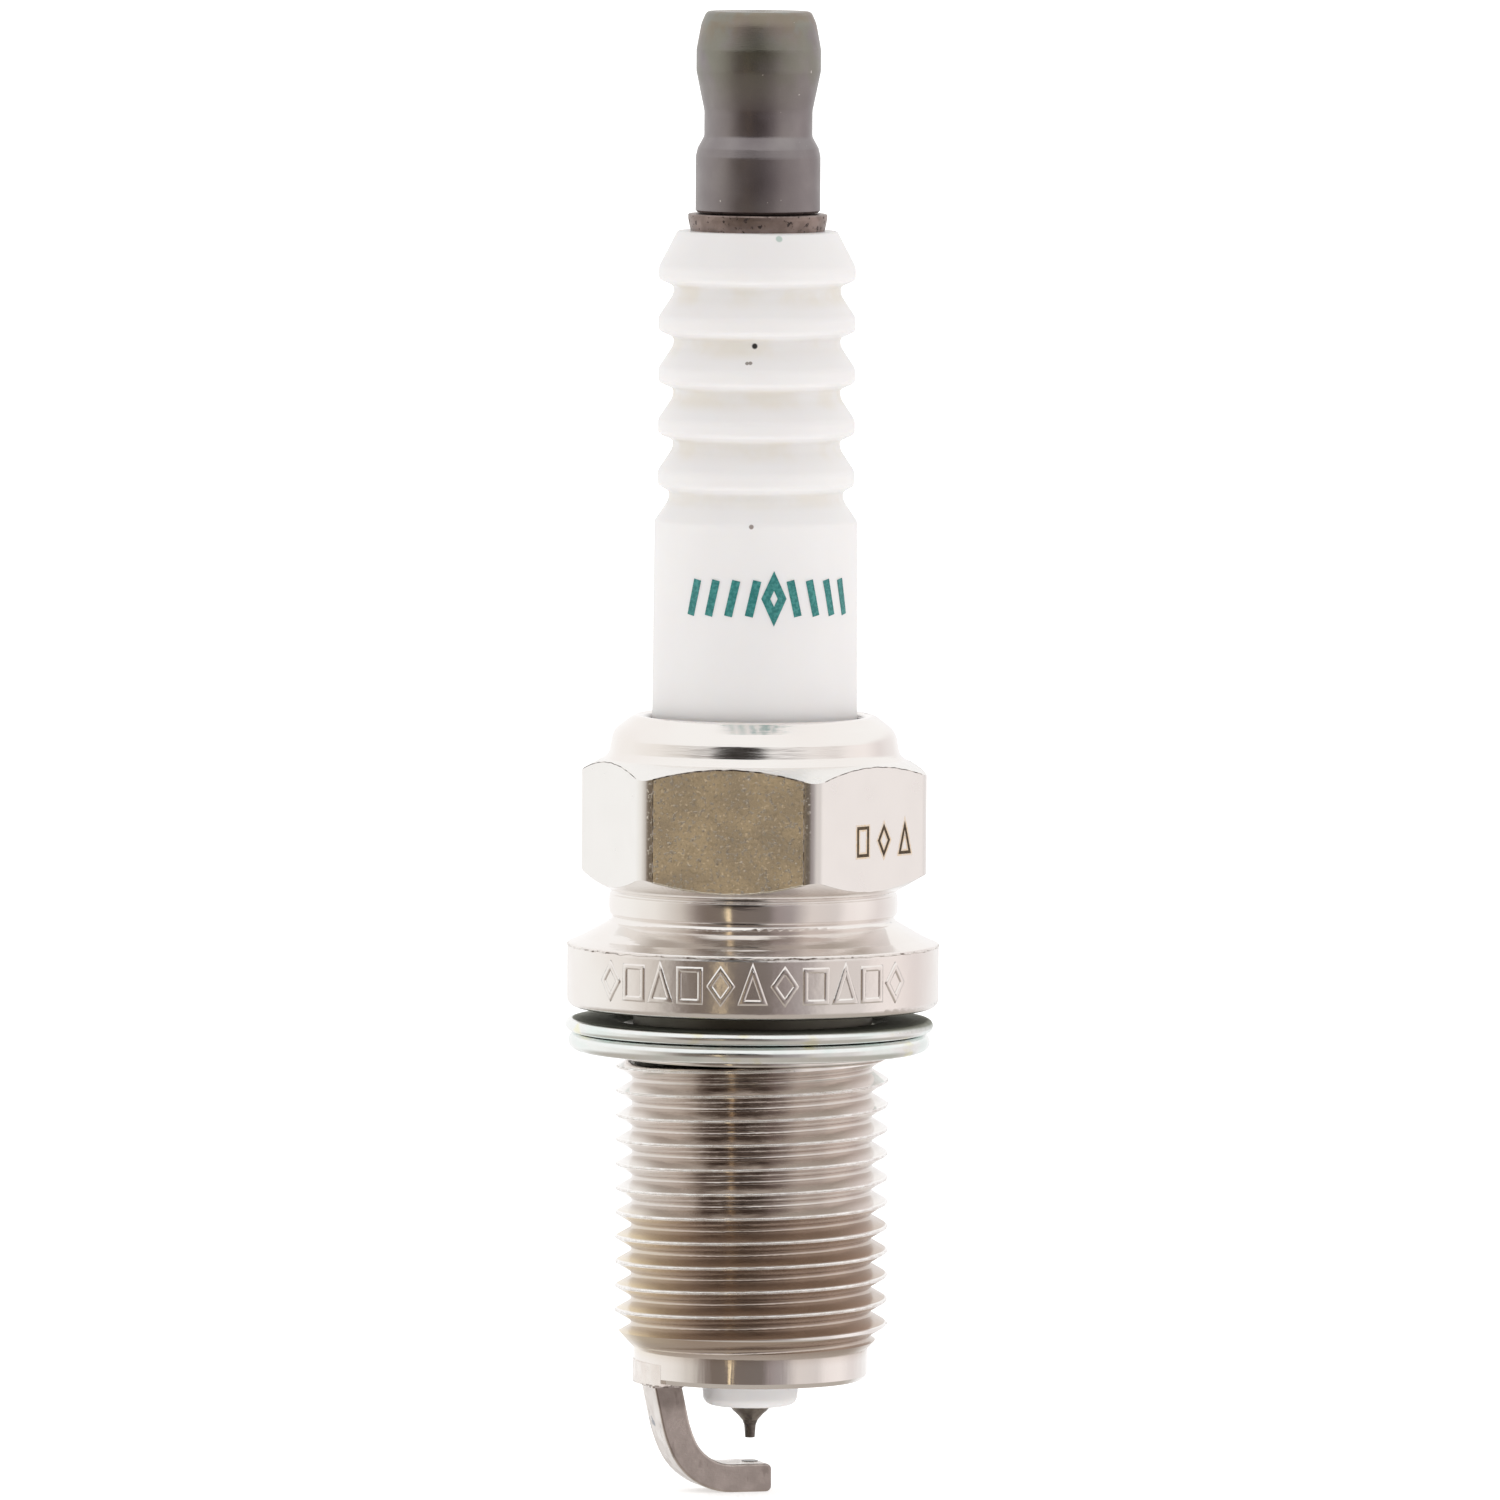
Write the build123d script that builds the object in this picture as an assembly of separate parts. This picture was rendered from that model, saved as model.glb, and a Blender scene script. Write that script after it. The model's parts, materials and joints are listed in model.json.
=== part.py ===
from build123d import *
import os
from math import cos, pi, radians, sin, tan

# Spark plug, M14 x 1.25 thread, 19 mm reach, 16 mm hexagon. All sizes in mm.
# Frame: origin on the plug's axis at the flange's gasket seat, +Z to the terminal,
# the firing end at -Z. Azimuths turn from +X towards +Y.

# ---- steel shell -----------------------------------------------------------
thread_major_r = 6.93
thread_root_r = 6.15
thread_pitch = 1.25
thread_turns = 13
thread_start_z = -18.125
thread_top_z = -2.35
thread_lead_in = 0.3
thread_end_z = -16.5
relief_r = 6.1
reach = 19.1
pilot_r = 5.97
pilot_top_z = -17.55
pilot_chamfer = 0.25
groove_half_angle = 30.0
groove_root_half = 0.08
groove_root_corner = 0.115
groove_overshoot = 0.03
groove_least_share = 0.8

flange_r = 9.5
flange_top_z, flange_wall_top_z = 3.26, 3.0
flange_low_edge_r = 0.42
cone_foot_r, cone_foot_z = 8.75, 3.57
neck_r = 7.27
neck_top_z, neck_foot_z = 5.84, 4.42
neck_ring_r = 7.36
neck_ring_top_z, neck_ring_low_z = 5.74, 4.8
neck_ring_crown = 0.06
neck_ring_crown_r = 3.0
neck_groove_depth = 0.05
hex_across_flats = 15.75
hex_corner_radius = 1.12
hex_azimuth = 260.5
hex_low_z, hex_high_z = 6.29, 12.6
hex_cut_low_z, hex_cut_high_z = 5.95, 12.85
hex_cut_spare = 0.05
hex_waste_r = 11.0
hex_drum_margin = 0.1
hex_collar_dip = 0.12
hex_chamfer = 31.0
hex_chamfer_corner = 0.55
hex_chamfer_crown = 0.02
hex_chamfer_crown_r = 38.0
lip_r, lip_foot_z = 7.43, 12.98
lip_shoulder_r, lip_shoulder_z = 7.22, 14.12
lip_crown_r, lip_top_z = 6.1, 14.97
lip_bore_r, lip_bore_top_z, lip_bore_low_z = 5.45, 14.76, 13.95

shell_bore_r, shell_bore_top_z = 6.1, 13.5
shell_bore_floor_z, shell_bore_step_z = 0.9, -0.3
barrel_bore_r = 4.25
ledge_r, ledge_z = 3.45, -9.3
ledge_low_z = -10.95
mouth_r, mouth_top_z = 4.2, -11.7
mouth_chamfer = 0.2

# ---- insulator -------------------------------------------------------------
insulator_top_z = 39.63
insulator_top_r = 4.08
rib_count = 5
rib_pitch = 2.62
rib_first_z = 37.59
rib_r = 5.03
rib_top_rise, rib_top_corner = 0.28, 0.55
first_rib_top_rise, first_rib_top_corner = 0.2, 0.7
rib_under_drop, rib_under_corner = 0.44, 0.28
groove_r = 4.27
last_groove_r = 4.45
groove_high_drop, groove_high_corner = 0.78, 0.2
groove_low_drop, groove_low_corner = 1.2, 0.8
sleeve_top_r, sleeve_low_r = 5.18, 5.24
sleeve_top_z, sleeve_taper_end_z = 24.83, 15.0
sleeve_corner = 0.35
shoulder_r = 6.0
shoulder_top_z, shoulder_edge_z, shoulder_low_z = 8.6, 8.05, 1.45
barrel_r, barrel_top_z = 4.1, 0.25
seat_slope = 0.75
packing_gap = 0.45
nose_root_r = 3.3
nose_start_r, nose_start_z = 3.1, -10.6
nose_tip_r = 2.39
nose_tip_z = -20.48
insulator_bore_r = 2.0
insulator_bore_floor_z = -8.0
electrode_bore_r = 1.17
electrode_seat_drop = 0.83

# ---- terminal --------------------------------------------------------------
nut_low_z, nut_top_z = 40.56, 50.82
nut_r = 3.18
nut_foot_bevel, nut_mouth_bevel = 0.12, 0.25
nut_band_top_z, nut_band_corner = 43.42, 0.5
nut_step_r, nut_step_z = 3.08, 43.86
nut_waist_r = 2.76
nut_waist_low_z, nut_waist_low_corner = 44.45, 0.35
nut_waist_high_z, nut_waist_high_corner = 45.75, 1.2
nut_head_low_z, nut_head_low_corner = 47.8, 1.0
nut_head_high_z, nut_head_high_corner = 48.85, 0.8
nut_dome_r, nut_dome_z, nut_dome_corner = 2.93, 50.2, 1.2
nut_crown_r = 2.66
nut_dimple_r, nut_dimple_depth = 0.75, 0.22
nut_bore_r = 2.05
nut_bore_top_z, nut_bore_cone = 49.3, 0.6
collar_top_z, collar_wide_z = 40.5, 40.25
collar_top_r, collar_low_r = 3.55, 3.42
stud_thread_r, stud_root_r = 1.98, 1.58
stud_thread_pitch, stud_thread_turns = 0.7, 10
stud_thread_low_z = 41.3
stud_thread_bevel = 0.4
stud_groove_start_z = 41.0
stud_top_z = 48.8
stem_r = 1.85
stem_knurl_r = 1.7
stem_knurl_top_z, stem_end_z = 12.5, 6.2
stem_step = 0.2

# ---- conductor inside the insulator ----------------------------------------
upper_seal_top_z = 9.0
resistor_top_z, resistor_low_z = 4.6, -3.6
electrode_head_top_z, electrode_head_wide_z = -6.4, -7.1
electrode_head_top_r, electrode_head_r = 1.05, 1.75
electrode_r = 1.12
core_r = 0.62
core_top_z, core_low_z = -8.8, -18.4
sheath_start_z = -20.5
sheath_middle_r, sheath_middle_z = 0.86, -20.8
sheath_end_r, sheath_end_z = 0.62, -21.02
sheath_start_course, sheath_end_course = (-1, -0.8), (-0.75, -1)
weld_end_r, weld_end_z = 0.40, -21.27
tip_shoulder_r, tip_shoulder_z = 0.3, -21.52
tip_end_r, tip_end_z = 0.25, -22.17

# ---- sealing rings and powder ----------------------------------------------
ring_gap_r = 0.03
upper_ring_z, lower_ring_z = 13.3, 8.79
talc_top_z, talc_low_z = 12.88, 9.2
seat_packing_clear = 0.08

# ---- ground electrode ------------------------------------------------------
strap_azimuth = 197.0
strap_width = 2.4
strap_thickness = 1.45
strap_edge_r = 0.12
strap_end_r = 0.3
strap_top_d = 4.78
strap_lean = 12.0
strap_upper_bend_r = 6.6
strap_bend_change = 25.0
strap_lower_bend_r = 2.9
strap_low_z = -24.86
strap_top_z = strap_low_z + strap_thickness
strap_past_axis = 0.78

# The weld's flash: a low bulge on the shell's side and a bead round the strap's top.
weld_bulge_r = 4.9
weld_bulge_reach = 6.09
weld_inner_r = 5.3
weld_top_z, weld_low_z = -18.1, -19.22
weld_half_angle = 23.0
weld_bead = 0.13
weld_bead_low_z = -19.38

chip_r = 0.42
chip_rim_r = 0.54
chip_depth = 0.32
chip_stands = 0.04
chip_top_z = strap_top_z + chip_stands

# ---- gasket ----------------------------------------------------------------
gasket_off_centre = -0.17
gasket_sheet = 0.3
gasket_lip_z, gasket_hem_z = -0.79, -1.13
gasket_roll_z, gasket_floor_z = -1.46, -2.1
gasket_lip_r = 9.4
gasket_roll_r = 9.25
gasket_bore_r = 6.4
gasket_fold_end_d = 7.4

# ---- corner radii ----------------------------------------------------------
crisp, fine, soft, full = 0.08, 0.15, 0.3, 0.5


def outline(*points):
    """A face in (radius, height) from its corners, each with an optional corner radius."""
    face = make_face(Polyline(*[point[:2] for point in points], close=True))
    for radius, height, *corner in points:
        if corner:
            vertex = face.vertices().sort_by_distance((radius, height, 0))[0]
            face = fillet(vertex, corner[0])
    return face


def lathe(face):
    """The face drawn in (radius, height), turned about the plug's axis."""
    return revolve(Plane.XZ * face, Axis.Z)


def tube(outer_r, inner_r, top_z, low_z):
    """A plain ring or, with no inner radius, a cylinder."""
    ring = Circle(outer_r)
    if inner_r:
        ring -= Circle(inner_r)
    return extrude(Plane.XY.offset(low_z) * ring, top_z - low_z)


def turned_to(azimuth, shape):
    return Rot(0, 0, azimuth) * shape


def thread_groove(major_r, root_r, pitch, start_z, turns):
    """A helical 60 degree groove with a rounded root, as one cutting solid."""
    root_half = groove_root_half * pitch
    reach_r = major_r + groove_overshoot
    mouth_half = root_half + (reach_r - root_r) * tan(radians(groove_half_angle))
    groove = make_face(Polyline(
        (root_r, start_z - root_half),
        (reach_r, start_z - mouth_half),
        (reach_r, start_z + mouth_half),
        (root_r, start_z + root_half),
        close=True,
    ))
    corners = groove.vertices().group_by(Axis.X)[0]
    groove = fillet(corners, groove_root_corner * pitch)
    path = Helix(pitch, pitch * turns, root_r, center=(0, 0, start_z))
    return sweep(Plane.XZ * groove, path=path, is_frenet=True)


def threaded(blank, groove):
    """The blank with its groove cut, refusing a cut that is missing or only partly made."""
    cut = blank - groove
    if blank.volume - cut.volume < groove_least_share * groove.volume:
        raise ValueError("the thread groove was not fully cut")
    return cut


# ---- shell -----------------------------------------------------------------
def chamfer_radius(height_past_flat):
    """Radius of the hexagon's end cone at a height past the flats' ends."""
    return hex_across_flats / 2 + height_past_flat / tan(radians(hex_chamfer))


def chamfer_crown(flat_end_z, upwards):
    """The corner that gives the hexagon's end chamfer its slight crown."""
    radius = hex_across_flats / 2 + hex_chamfer_corner
    slope = radians(hex_chamfer)
    drop = hex_chamfer_corner * tan(slope) - hex_chamfer_crown / cos(slope)
    return radius, flat_end_z - upwards * drop, hex_chamfer_crown_r


def shell_blank():
    """The turned shell, with the hexagon still a plain drum."""
    drum_r = hex_across_flats / 2 / cos(pi / 6) + hex_drum_margin
    drum_chamfer = (drum_r - hex_across_flats / 2) * tan(radians(hex_chamfer))
    neck_ring_middle_z = (neck_ring_top_z + neck_ring_low_z) / 2
    return lathe(outline(
        (lip_bore_r, lip_bore_low_z, crisp),
        (lip_bore_r, lip_bore_top_z, fine),
        (lip_crown_r, lip_top_z, full),
        (lip_shoulder_r, lip_shoulder_z, 2 * full),
        (lip_r, lip_foot_z, full),
        (chamfer_radius(-hex_collar_dip), hex_high_z + hex_collar_dip),
        chamfer_crown(hex_high_z, 1),
        (drum_r, hex_high_z - drum_chamfer),
        (drum_r, hex_low_z + drum_chamfer),
        chamfer_crown(hex_low_z, -1),
        (chamfer_radius(-soft), hex_low_z - soft),
        (neck_r, neck_top_z, crisp),
        (neck_ring_r, neck_ring_top_z, crisp / 2),
        (neck_ring_r + neck_ring_crown, neck_ring_middle_z, neck_ring_crown_r),
        (neck_ring_r, neck_ring_low_z, crisp),
        (neck_r - neck_groove_depth, (neck_ring_low_z + neck_foot_z) / 2, crisp),
        (neck_r, neck_foot_z, soft),
        (cone_foot_r, cone_foot_z, full),
        (flange_r - neck_groove_depth, flange_top_z, crisp),
        (flange_r, flange_wall_top_z),
        (flange_r, 0, flange_low_edge_r),
        (relief_r, 0, fine),
        (relief_r, thread_top_z),
        (thread_major_r, thread_top_z - thread_lead_in),
        (thread_major_r, thread_end_z),
        (pilot_r, pilot_top_z, fine),
        (pilot_r, -reach + pilot_chamfer),
        (pilot_r - pilot_chamfer, -reach),
        (mouth_r + mouth_chamfer, -reach),
        (mouth_r, -reach + mouth_chamfer),
        (mouth_r, mouth_top_z, soft),
        (ledge_r, ledge_low_z),
        (ledge_r, ledge_z - (barrel_bore_r - ledge_r) * seat_slope),
        (barrel_bore_r, ledge_z),
        (barrel_bore_r, shell_bore_step_z),
        (shell_bore_r, shell_bore_floor_z),
        (shell_bore_r, shell_bore_top_z),
    ))


def hexagon():
    """The wrench hexagon's prism, with its corners rounded."""
    prism = extrude(
        Plane.XY.offset(hex_cut_low_z - hex_cut_spare)
        * RegularPolygon(hex_across_flats / 2, 6, major_radius=False),
        hex_cut_high_z - hex_cut_low_z + 2 * hex_cut_spare,
    )
    prism = fillet(prism.edges().filter_by(Axis.Z), hex_corner_radius)
    flat_now = 30.0
    return turned_to(hex_azimuth - flat_now, prism)


def strap_weld(blank):
    """The flash where the strap meets the shell: up the shell's side and round the strap."""
    bulge = Pos(weld_bulge_reach - weld_bulge_r, 0, 0) * tube(
        weld_bulge_r, 0, weld_top_z, weld_low_z
    )
    wedge_side = weld_bulge_reach * tan(radians(weld_half_angle))
    wedge = extrude(
        Plane.XY.offset(weld_low_z) * make_face(Polyline(
            (0, 0),
            (weld_bulge_reach, -wedge_side),
            (weld_bulge_reach, wedge_side),
            close=True,
        )),
        weld_top_z - weld_low_z,
    )
    pad = (bulge & wedge) - tube(weld_inner_r, 0, weld_top_z, weld_low_z)
    bead = extrude(
        Plane.XY.offset(weld_bead_low_z) * Pos(strap_top_d, 0) * RectangleRounded(
            strap_thickness + 2 * weld_bead, strap_width + 2 * weld_bead, fine
        ),
        -reach - weld_bead_low_z,
    )
    return turned_to(strap_azimuth, pad + bead) - blank


def shell(blank):
    hex_waste = tube(hex_waste_r, 0, hex_cut_high_z, hex_cut_low_z) - hexagon()
    groove = thread_groove(
        thread_major_r, thread_root_r, thread_pitch, thread_start_z, thread_turns
    )
    return threaded(blank - hex_waste, groove)


# ---- ceramic and what it carries -------------------------------------------
def rib_corners(peak_z, low_r):
    """The undercut below one rib and the flare into the next, going down."""
    return [
        (rib_r, peak_z - rib_under_drop, rib_under_corner),
        (low_r, peak_z - groove_high_drop, groove_high_corner),
        (low_r, peak_z - groove_low_drop, groove_low_corner),
    ]


def insulator():
    corners = [
        (insulator_bore_r, insulator_top_z),
        (insulator_top_r, insulator_top_z, fine),
        (rib_r, rib_first_z + first_rib_top_rise, first_rib_top_corner),
    ]
    for rib in range(rib_count - 1):
        peak_z = rib_first_z - rib * rib_pitch
        corners += rib_corners(peak_z, groove_r)
        corners.append((rib_r, peak_z - rib_pitch + rib_top_rise, rib_top_corner))
    corners += rib_corners(rib_first_z - (rib_count - 1) * rib_pitch, last_groove_r)
    seat_top_z = ledge_z + packing_gap
    seat_low_z = seat_top_z - (barrel_r - nose_root_r) * seat_slope
    corners += [
        (sleeve_top_r, sleeve_top_z, sleeve_corner),
        (sleeve_low_r, sleeve_taper_end_z),
        (sleeve_low_r, shoulder_top_z),
        (shoulder_r, shoulder_edge_z, soft),
        (shoulder_r, shoulder_low_z, soft),
        (barrel_r, barrel_top_z, soft),
        (barrel_r, seat_top_z),
        (nose_root_r, seat_low_z, soft),
        (nose_start_r, nose_start_z, soft),
        (nose_tip_r, nose_tip_z, full),
        (electrode_bore_r, nose_tip_z),
        (electrode_bore_r, insulator_bore_floor_z - electrode_seat_drop),
        (insulator_bore_r, insulator_bore_floor_z),
    ]
    return lathe(outline(*corners))


def terminal_stud():
    """The stem in the bore, its collar on the ceramic and the screwed end above."""
    blank = lathe(outline(
        (0, stem_end_z),
        (stem_knurl_r, stem_end_z, soft),
        (stem_knurl_r, stem_knurl_top_z),
        (stem_r, stem_knurl_top_z + stem_step),
        (stem_r, insulator_top_z),
        (collar_low_r, insulator_top_z),
        (collar_top_r, collar_wide_z, fine),
        (collar_top_r, collar_top_z, crisp),
        (stud_root_r, collar_top_z),
        (stud_root_r, stud_thread_low_z - stud_thread_bevel),
        (stud_thread_r, stud_thread_low_z),
        (stud_thread_r, stud_top_z - stud_thread_bevel),
        (stud_root_r, stud_top_z),
        (0, stud_top_z),
    ))
    groove = thread_groove(
        stud_thread_r,
        stud_root_r,
        stud_thread_pitch,
        stud_groove_start_z,
        stud_thread_turns,
    )
    return threaded(blank, groove)


def terminal_nut():
    """The screw-on barrel that the plug boot snaps over."""
    return lathe(outline(
        (nut_bore_r + nut_mouth_bevel, nut_low_z),
        (nut_r - nut_foot_bevel, nut_low_z),
        (nut_r, nut_low_z + nut_foot_bevel),
        (nut_r, nut_band_top_z, nut_band_corner),
        (nut_step_r, nut_step_z, soft),
        (nut_waist_r, nut_waist_low_z, nut_waist_low_corner),
        (nut_waist_r, nut_waist_high_z, nut_waist_high_corner),
        (nut_r, nut_head_low_z, nut_head_low_corner),
        (nut_r, nut_head_high_z, nut_head_high_corner),
        (nut_dome_r, nut_dome_z, nut_dome_corner),
        (nut_crown_r, nut_top_z, soft),
        (nut_dimple_r, nut_top_z, crisp),
        (0, nut_top_z - nut_dimple_depth),
        (0, nut_bore_top_z + nut_bore_cone),
        (nut_bore_r, nut_bore_top_z),
        (nut_bore_r, nut_low_z + nut_mouth_bevel),
    ))


def centre_electrode_blank():
    """Head, shank and the hollow-sided taper down to the precious-metal tip."""
    shank = outline(
        (0, electrode_head_top_z),
        (electrode_head_top_r, electrode_head_top_z, fine),
        (electrode_head_r, electrode_head_wide_z, soft),
        (electrode_head_r, insulator_bore_floor_z - fine),
        (electrode_r, insulator_bore_floor_z - electrode_seat_drop),
        (electrode_r, sheath_start_z),
        (0, sheath_start_z),
    )
    taper = make_face(
        Polyline((0, sheath_end_z), (0, sheath_start_z), (electrode_r, sheath_start_z))
        + Spline(
            (electrode_r, sheath_start_z),
            (sheath_middle_r, sheath_middle_z),
            (sheath_end_r, sheath_end_z),
            tangents=[sheath_start_course, sheath_end_course],
        )
        + Line((sheath_end_r, sheath_end_z), (0, sheath_end_z))
    )
    return lathe(shank) + lathe(taper)


def iridium_tip():
    return lathe(outline(
        (0, weld_end_z),
        (weld_end_r, weld_end_z),
        (tip_shoulder_r, tip_shoulder_z, soft),
        (tip_end_r, tip_end_z, crisp / 2),
        (0, tip_end_z),
    ))


def packing_ring(centre_z):
    """A steel wire ring filling the space between ceramic and shell."""
    centre_r = (sleeve_low_r + shell_bore_r) / 2
    wire_r = (shell_bore_r - sleeve_low_r) / 2 - ring_gap_r
    return lathe(Pos(centre_r, centre_z) * Circle(wire_r))


def seat_packing():
    """The washer squeezed between the ceramic's step and the shell's ledge."""
    inner_r, outer_r = ledge_r + seat_packing_clear, barrel_r
    ledge_at = [ledge_z - (barrel_bore_r - r) * seat_slope for r in (inner_r, outer_r)]
    step_at = [
        ledge_z + packing_gap - (barrel_r - r) * seat_slope for r in (inner_r, outer_r)
    ]
    return lathe(outline(
        (inner_r, ledge_at[0]),
        (outer_r, ledge_at[1]),
        (outer_r, step_at[1]),
        (inner_r, step_at[0]),
    ))


# ---- ground electrode ------------------------------------------------------
def strap_path():
    """The strap's centreline in (distance, height): leaning leg, two bends, flat foot."""
    lean, change = radians(strap_lean), radians(strap_bend_change)
    foot_z = strap_low_z + strap_thickness / 2
    upper_drop = strap_upper_bend_r * (sin(change) - sin(lean))
    lower_drop = strap_lower_bend_r * (1 - sin(change))
    leg_low_z = foot_z + upper_drop + lower_drop
    spare = full
    leg = Line(
        (strap_top_d + spare * tan(lean), -reach + spare),
        (strap_top_d - (-reach - leg_low_z) * tan(lean), leg_low_z),
    )
    upper = JernArc(leg @ 1, leg % 1, strap_upper_bend_r, strap_lean - strap_bend_change)
    lower = JernArc(upper @ 1, upper % 1, strap_lower_bend_r, strap_bend_change - 90)
    foot = Line(lower @ 1, (-strap_past_axis, foot_z))
    return leg + upper + lower + foot


def strap_end_waste():
    """What rounding the foot's two end corners takes away."""
    middle_z = strap_low_z + strap_thickness / 2
    square = Pos(-strap_past_axis, middle_z) * Rectangle(2 * strap_end_r, strap_thickness)
    rounded = Pos(-strap_past_axis + strap_width, middle_z) * RectangleRounded(
        2 * strap_width, strap_thickness, strap_end_r
    )
    return extrude(Plane.XZ * (square - rounded), strap_width, both=True)


def ground_electrode():
    """The strap: off the shell's end and round under the centre electrode."""
    path = Plane.XZ * strap_path()
    section = Plane(path @ 0, x_dir=(0, 1, 0), z_dir=path % 0) * RectangleRounded(
        strap_width, strap_thickness, strap_edge_r
    )
    strap = sweep(section, path=path) - strap_end_waste()
    strap = split(strap, Plane.XY.offset(-reach), keep=Keep.BOTTOM)
    socket = tube(chip_rim_r, 0, chip_top_z + full, chip_top_z - chip_depth)
    return turned_to(strap_azimuth, strap) - socket


def chip_rim():
    """The fused rim round the chip, level with the strap but for a low bead."""
    return lathe(outline(
        (chip_r, chip_top_z - chip_depth),
        (chip_rim_r, chip_top_z - chip_depth),
        (chip_rim_r, strap_top_z),
        ((chip_r + chip_rim_r) / 2, strap_top_z + chip_stands / 2),
        (chip_r, strap_top_z + chip_stands / 2),
    ))


# ---- gasket ----------------------------------------------------------------
def gasket():
    """One folded strip: hemmed top lip, inner fold, then a flattened roll underneath."""
    half = gasket_sheet / 2
    hem_r = (gasket_lip_z - gasket_hem_z) / 2
    hem_d = gasket_lip_r - half - hem_r
    fold_r = (gasket_lip_z - gasket_floor_z) / 2
    fold_d = gasket_bore_r + half + fold_r
    roll_r = (gasket_roll_z - gasket_floor_z) / 2
    roll_d = gasket_roll_r - half - roll_r
    strip = (
        Line((gasket_fold_end_d, gasket_hem_z), (hem_d, gasket_hem_z))
        + CenterArc((hem_d, gasket_lip_z - hem_r), hem_r, -90, 180)
        + Line((hem_d, gasket_lip_z), (fold_d, gasket_lip_z))
        + CenterArc((fold_d, gasket_lip_z - fold_r), fold_r, 90, 180)
        + Line((fold_d, gasket_floor_z), (roll_d, gasket_floor_z))
        + CenterArc((roll_d, gasket_roll_z - roll_r), roll_r, -90, 180)
        + Line((roll_d, gasket_roll_z), (gasket_fold_end_d, gasket_roll_z))
    )
    section = make_face(Wire(strip.edges()).offset_2d(half, kind=Kind.ARC))
    return Pos(gasket_off_centre, 0, 0) * lathe(section)


# ---- the assembly ----------------------------------------------------------
blank = shell_blank()
weld = strap_weld(blank)
strap = ground_electrode()
electrode = centre_electrode_blank()
core = tube(core_r, 0, core_top_z, core_low_z)
stud = terminal_stud()
bore_fill = lathe(outline(
    (0, resistor_low_z),
    (insulator_bore_r, resistor_low_z),
    (insulator_bore_r, insulator_bore_floor_z),
    (electrode_bore_r, insulator_bore_floor_z - electrode_seat_drop),
    (0, insulator_bore_floor_z - electrode_seat_drop),
))
tip_weld = lathe(outline(
    (0, sheath_end_z),
    (sheath_end_r, sheath_end_z),
    (weld_end_r, weld_end_z),
    (0, weld_end_z),
))

nodes = {
    "shell": shell(blank),
    "insulator": insulator(),
    "terminal_stud": stud,
    "terminal_nut": terminal_nut(),
    "upper_packing_ring": packing_ring(upper_ring_z),
    "talc_filling": tube(shell_bore_r, sleeve_low_r, talc_top_z, talc_low_z),
    "lower_packing_ring": packing_ring(lower_ring_z),
    "seat_packing": seat_packing(),
    "upper_glass_seal": tube(insulator_bore_r, 0, upper_seal_top_z, resistor_top_z) - stud,
    "resistor": tube(insulator_bore_r, 0, resistor_top_z, resistor_low_z),
    "lower_glass_seal": bore_fill - electrode,
    "centre_electrode": electrode - core,
    "electrode_core": core,
    "tip_weld": tip_weld,
    "iridium_tip": iridium_tip(),
    "ground_electrode": strap,
    "strap_weld": weld - strap,
    "platinum_chip": tube(chip_r, 0, chip_top_z, chip_top_z - chip_depth),
    "chip_rim": chip_rim(),
    "gasket": gasket(),
}

os.makedirs("parts", exist_ok=True)
for name, shape in nodes.items():
    solids = shape.solids()
    if len(solids) != 1:
        raise ValueError(f"{name} has {len(solids)} solids")
    export_step(solids[0], f"parts/{name}.step")
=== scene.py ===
import json
import math

import bpy
from mathutils import Matrix, Vector, noise


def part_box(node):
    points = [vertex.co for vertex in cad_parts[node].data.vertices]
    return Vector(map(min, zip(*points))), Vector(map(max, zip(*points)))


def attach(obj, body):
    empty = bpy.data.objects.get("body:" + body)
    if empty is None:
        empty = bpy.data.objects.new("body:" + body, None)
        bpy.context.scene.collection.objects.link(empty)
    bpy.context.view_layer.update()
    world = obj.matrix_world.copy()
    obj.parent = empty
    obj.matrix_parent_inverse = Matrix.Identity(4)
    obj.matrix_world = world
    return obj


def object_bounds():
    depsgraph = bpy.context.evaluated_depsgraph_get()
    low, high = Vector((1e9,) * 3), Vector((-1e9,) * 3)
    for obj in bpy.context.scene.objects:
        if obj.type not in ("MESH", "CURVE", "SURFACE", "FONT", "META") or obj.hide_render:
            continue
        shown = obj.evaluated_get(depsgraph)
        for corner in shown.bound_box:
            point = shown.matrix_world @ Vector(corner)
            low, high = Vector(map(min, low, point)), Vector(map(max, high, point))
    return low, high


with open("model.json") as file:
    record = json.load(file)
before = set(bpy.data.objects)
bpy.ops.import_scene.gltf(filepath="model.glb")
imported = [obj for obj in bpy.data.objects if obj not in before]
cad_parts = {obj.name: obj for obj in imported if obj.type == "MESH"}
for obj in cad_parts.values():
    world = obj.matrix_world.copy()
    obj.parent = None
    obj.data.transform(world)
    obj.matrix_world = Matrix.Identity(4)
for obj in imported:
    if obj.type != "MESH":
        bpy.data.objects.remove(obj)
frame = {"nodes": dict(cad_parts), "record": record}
cad_low, cad_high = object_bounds()

MM = 0.001

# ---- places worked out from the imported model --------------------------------
mounts = {mount["name"]: mount for mount in frame["record"]["mounts"]}
front_flat = Vector(mounts["wrench_flat_front"]["pos_m"])
flat_distance = front_flat.xy.length
flat_middle_z = front_flat.z
front_flat_azimuth = math.atan2(front_flat.y, front_flat.x)
right_flat_azimuth = front_flat_azimuth + math.pi / 3
flange_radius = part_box("shell")[1].x

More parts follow.
